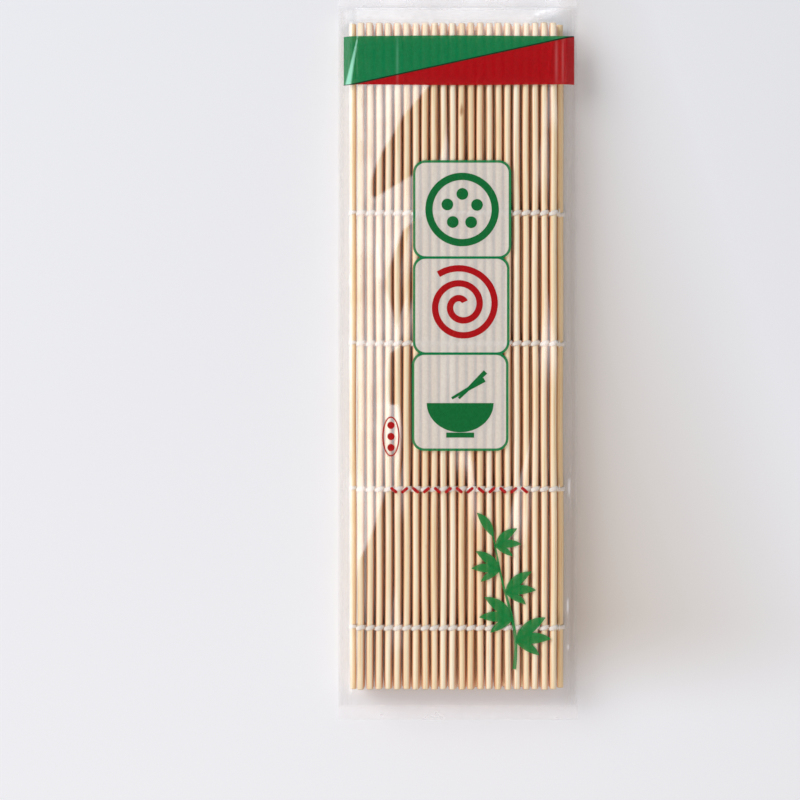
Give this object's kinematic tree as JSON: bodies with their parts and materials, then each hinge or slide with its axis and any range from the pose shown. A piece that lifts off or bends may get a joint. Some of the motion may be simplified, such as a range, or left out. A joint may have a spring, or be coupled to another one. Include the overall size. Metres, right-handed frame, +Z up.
{
  "type": "sushi rolling mat",
  "caption": "Bamboo stick mat bound with cotton twine, folded in three layers inside a clear flap pouch; it slides out, opens flat and rolls up.",
  "frame": {"origin": "middle of the folded mat, on the underside of the pouch's back film", "axes": "+Y along the sticks towards the pouch's mouth, +X across the sticks, +Z up through the layers"},
  "size_m": [0.087, 0.2924, 0.0108],
  "materials": {
    "bamboo": "planed, unfinished",
    "cotton_twine": "twisted",
    "clear_film": "clear gloss",
    "adhesive": "gloss",
    "green_print": "gloss ink",
    "red_print": "gloss ink",
    "white_print": "gloss ink"
  },
  "bodies": {
    "bottom_layer": {"bottom_sticks_1": "bamboo", "bottom_sticks_2": "bamboo", "bottom_sticks_3": "bamboo", "bottom_sticks_4": "bamboo", "bottom_sticks_5": "bamboo", "bottom_sticks_6": "bamboo", "bottom_sticks_7": "bamboo", "bottom_sticks_8": "bamboo", "bottom_sticks_9": "bamboo", "bottom_sticks_10": "bamboo", "bottom_sticks_11": "bamboo", "bottom_twine_1": "cotton_twine", "bottom_twine_2": "cotton_twine", "bottom_twine_3": "cotton_twine", "bottom_twine_4": "cotton_twine", "bottom_twine_5": "cotton_twine"},
    "fold_1_side": {"fold_1_side_stick": "bamboo", "fold_1_side_twine": "cotton_twine"},
    "fold_1_edge": {"fold_1_edge_stick": "bamboo", "fold_1_edge_twine": "cotton_twine"},
    "middle_layer": {"middle_sticks_1": "bamboo", "middle_sticks_2": "bamboo", "middle_sticks_3": "bamboo", "middle_sticks_4": "bamboo", "middle_sticks_5": "bamboo", "middle_sticks_6": "bamboo", "middle_sticks_7": "bamboo", "middle_sticks_8": "bamboo", "middle_sticks_9": "bamboo", "middle_sticks_10": "bamboo", "middle_sticks_11": "bamboo", "middle_twine_1": "cotton_twine", "middle_twine_2": "cotton_twine", "middle_twine_3": "cotton_twine", "middle_twine_4": "cotton_twine", "middle_twine_5": "cotton_twine"},
    "fold_2_side": {"fold_2_side_stick": "bamboo", "fold_2_side_twine": "cotton_twine"},
    "fold_2_edge": {"fold_2_edge_stick": "bamboo", "fold_2_edge_twine": "cotton_twine"},
    "top_strip_1": {"top_sticks_1": "bamboo", "top_twine_1": "cotton_twine"},
    "top_strip_2": {"top_sticks_2": "bamboo", "top_twine_2": "cotton_twine"},
    "top_strip_3": {"top_sticks_3": "bamboo", "top_twine_3": "cotton_twine"},
    "top_strip_4": {"top_sticks_4": "bamboo", "top_twine_4": "cotton_twine"},
    "top_strip_5": {"top_sticks_5": "bamboo", "top_twine_5": "cotton_twine"},
    "top_strip_6": {"top_sticks_6": "bamboo", "top_twine_6": "cotton_twine"},
    "top_strip_7": {"top_sticks_7": "bamboo", "top_twine_7": "cotton_twine"},
    "pouch": {"pouch_back_film": "clear_film", "pouch_front_film": "clear_film", "pouch_end_seal": "clear_film"},
    "flap": {"pouch_flap": "clear_film", "flap_adhesive_strip": "adhesive"}
  },
  "joints": [
    {"name": "fold_1_lift", "type": "hinge", "parent": "bottom_layer", "child": "fold_1_side", "pos_m": [0.03465, 0, 0.00192], "axis": [0, 1, 0], "range_deg": [0, 32.03]},
    {"name": "unfold", "type": "hinge", "parent": "fold_1_side", "child": "fold_1_edge", "pos_m": [0.03745, 0, 0.00367], "axis": [0, 1, 0], "range_deg": [0, 115.95], "deforming": ["pouch_front_film"]},
    {"name": "fold_1_level", "type": "hinge", "parent": "fold_1_edge", "child": "middle_layer", "pos_m": [0.03465, 0, 0.00542], "axis": [0, 1, 0], "range_deg": [0, 32.03]},
    {"name": "fold_2_lift", "type": "hinge", "parent": "middle_layer", "child": "fold_2_side", "pos_m": [-0.03465, 0, 0.00542], "axis": [0, -1, 0], "range_deg": [0, 32.03]},
    {"name": "fold_2_turn", "type": "hinge", "parent": "fold_2_side", "child": "fold_2_edge", "pos_m": [-0.03745, 0, 0.00717], "axis": [0, -1, 0], "range_deg": [0, 115.95]},
    {"name": "fold_2_level", "type": "hinge", "parent": "fold_2_edge", "child": "top_strip_1", "pos_m": [-0.03465, 0, 0.00892], "axis": [0, -1, 0], "range_deg": [0, 32.03]},
    {"name": "roll_1", "type": "hinge", "parent": "top_strip_1", "child": "top_strip_2", "pos_m": [-0.02475, 0, 0.00892], "axis": [0, -1, 0], "range_deg": [0, 25]},
    {"name": "roll_2", "type": "hinge", "parent": "top_strip_2", "child": "top_strip_3", "pos_m": [-0.01485, 0, 0.00892], "axis": [0, -1, 0], "range_deg": [0, 25]},
    {"name": "roll_3", "type": "hinge", "parent": "top_strip_3", "child": "top_strip_4", "pos_m": [-0.00495, 0, 0.00892], "axis": [0, -1, 0], "range_deg": [0, 25]},
    {"name": "roll_4", "type": "hinge", "parent": "top_strip_4", "child": "top_strip_5", "pos_m": [0.00495, 0, 0.00892], "axis": [0, -1, 0], "range_deg": [0, 25]},
    {"name": "roll_5", "type": "hinge", "parent": "top_strip_5", "child": "top_strip_6", "pos_m": [0.01485, 0, 0.00892], "axis": [0, -1, 0], "range_deg": [0, 25]},
    {"name": "roll_6", "type": "hinge", "parent": "top_strip_6", "child": "top_strip_7", "pos_m": [0.02475, 0, 0.00892], "axis": [0, -1, 0], "range_deg": [0, 25]},
    {"name": "pouch_slide", "type": "slide", "parent": "bottom_layer", "child": "pouch", "axis": [0, -1, 0], "range_m": [0, 0.255]},
    {"name": "flap_fold", "type": "hinge", "parent": "pouch", "child": "flap", "pos_m": [0.0005, 0.1272, 0.00013], "axis": [1, 0, 0], "range_deg": [0, 100]}
  ],
  "couplings": [
    {"joint": "fold_1_lift", "follows": "unfold", "ratio": 0.27621},
    {"joint": "fold_1_level", "follows": "unfold", "ratio": 0.27621},
    {"joint": "fold_2_lift", "follows": "unfold", "ratio": 0.27621},
    {"joint": "fold_2_turn", "follows": "unfold", "ratio": 1},
    {"joint": "fold_2_level", "follows": "unfold", "ratio": 0.27621},
    {"joint": "roll_1", "follows": "unfold", "ratio": 0.21561},
    {"joint": "roll_2", "follows": "unfold", "ratio": 0.21561},
    {"joint": "roll_3", "follows": "unfold", "ratio": 0.21561},
    {"joint": "roll_4", "follows": "unfold", "ratio": 0.21561},
    {"joint": "roll_5", "follows": "unfold", "ratio": 0.21561},
    {"joint": "roll_6", "follows": "unfold", "ratio": 0.21561}
  ]
}
